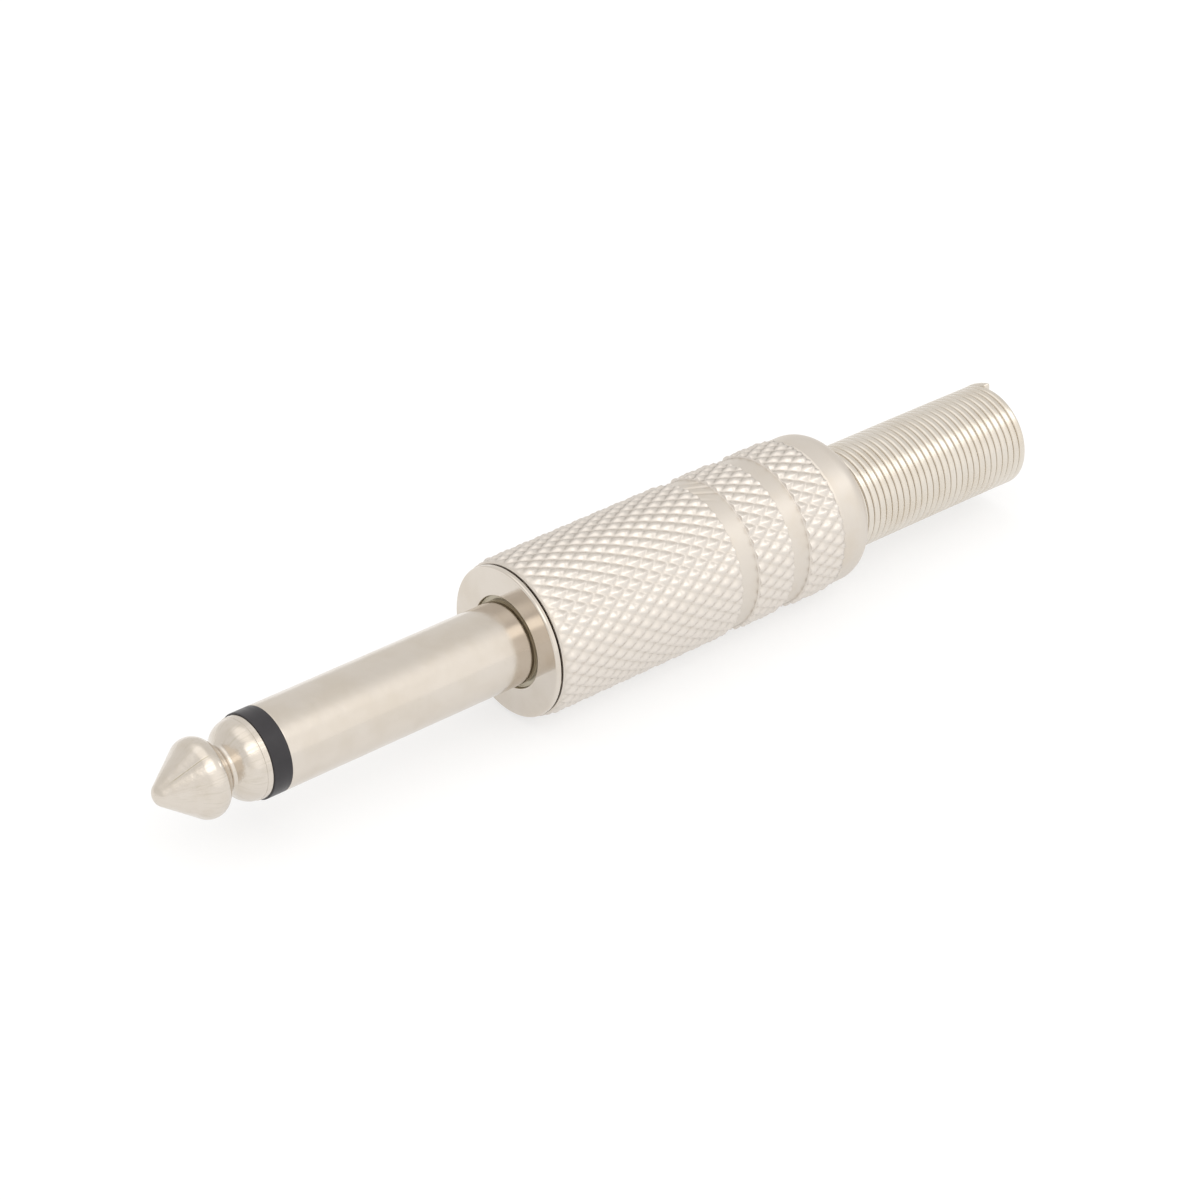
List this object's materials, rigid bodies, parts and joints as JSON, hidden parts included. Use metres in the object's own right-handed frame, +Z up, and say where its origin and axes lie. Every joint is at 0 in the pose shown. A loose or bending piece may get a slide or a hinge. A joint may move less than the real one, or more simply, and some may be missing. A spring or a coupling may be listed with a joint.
{
  "type": "mono jack plug",
  "caption": "Straight mono phone plug: nickel finger with black insulating ring, collar, diamond-knurled screw-on barrel with smooth grooves, and a close-wound strain relief spring.",
  "frame": {"origin": "on the plug's axis, at the collar's seating face that meets the socket", "axes": "+X along the plug towards the relief spring, tip towards -X; +Z up as the plug lies in the picture"},
  "size_m": [0.0791, 0.0122, 0.0122],
  "materials": {
    "bright_nickel": "bright nickel plating over turned brass",
    "shank_nickel": "softly polished nickel plating over turned brass",
    "satin_nickel": "satin nickel plating over knurled brass",
    "spring_wire": "bright nickel-plated spring wire",
    "lug_tin": "tinned stamped brass sheet",
    "black_insulator": "moulded black plastic, slightly glossy",
    "fibre": "turned phenolic fibre",
    "film": "rolled milky plastic film tube"
  },
  "bodies": {
    "plug_body": {"tip_contact": "bright_nickel", "tip_insulator": "black_insulator", "shank": "shank_nickel", "collar": "bright_nickel", "rear_bush": "fibre", "sleeve_lug": "lug_tin", "tip_lug": "lug_tin"},
    "spring_body": {"relief_spring": "spring_wire"},
    "barrel_body": {"barrel": "satin_nickel", "liner": "film"}
  },
  "joints": [
    {"name": "barrel_travel", "type": "slide", "parent": "plug_body", "child": "spring_body", "axis": [1, 0, 0], "range_m": [0, 0.0046]},
    {"name": "barrel_turn", "type": "hinge", "parent": "spring_body", "child": "barrel_body", "pos_m": [0, 0, 0], "axis": [1, 0, 0], "range_deg": [0, 3240]}
  ],
  "couplings": [
    {"joint": "barrel_travel", "follows": "barrel_turn", "m_per_rad": 0.000079577}
  ]
}
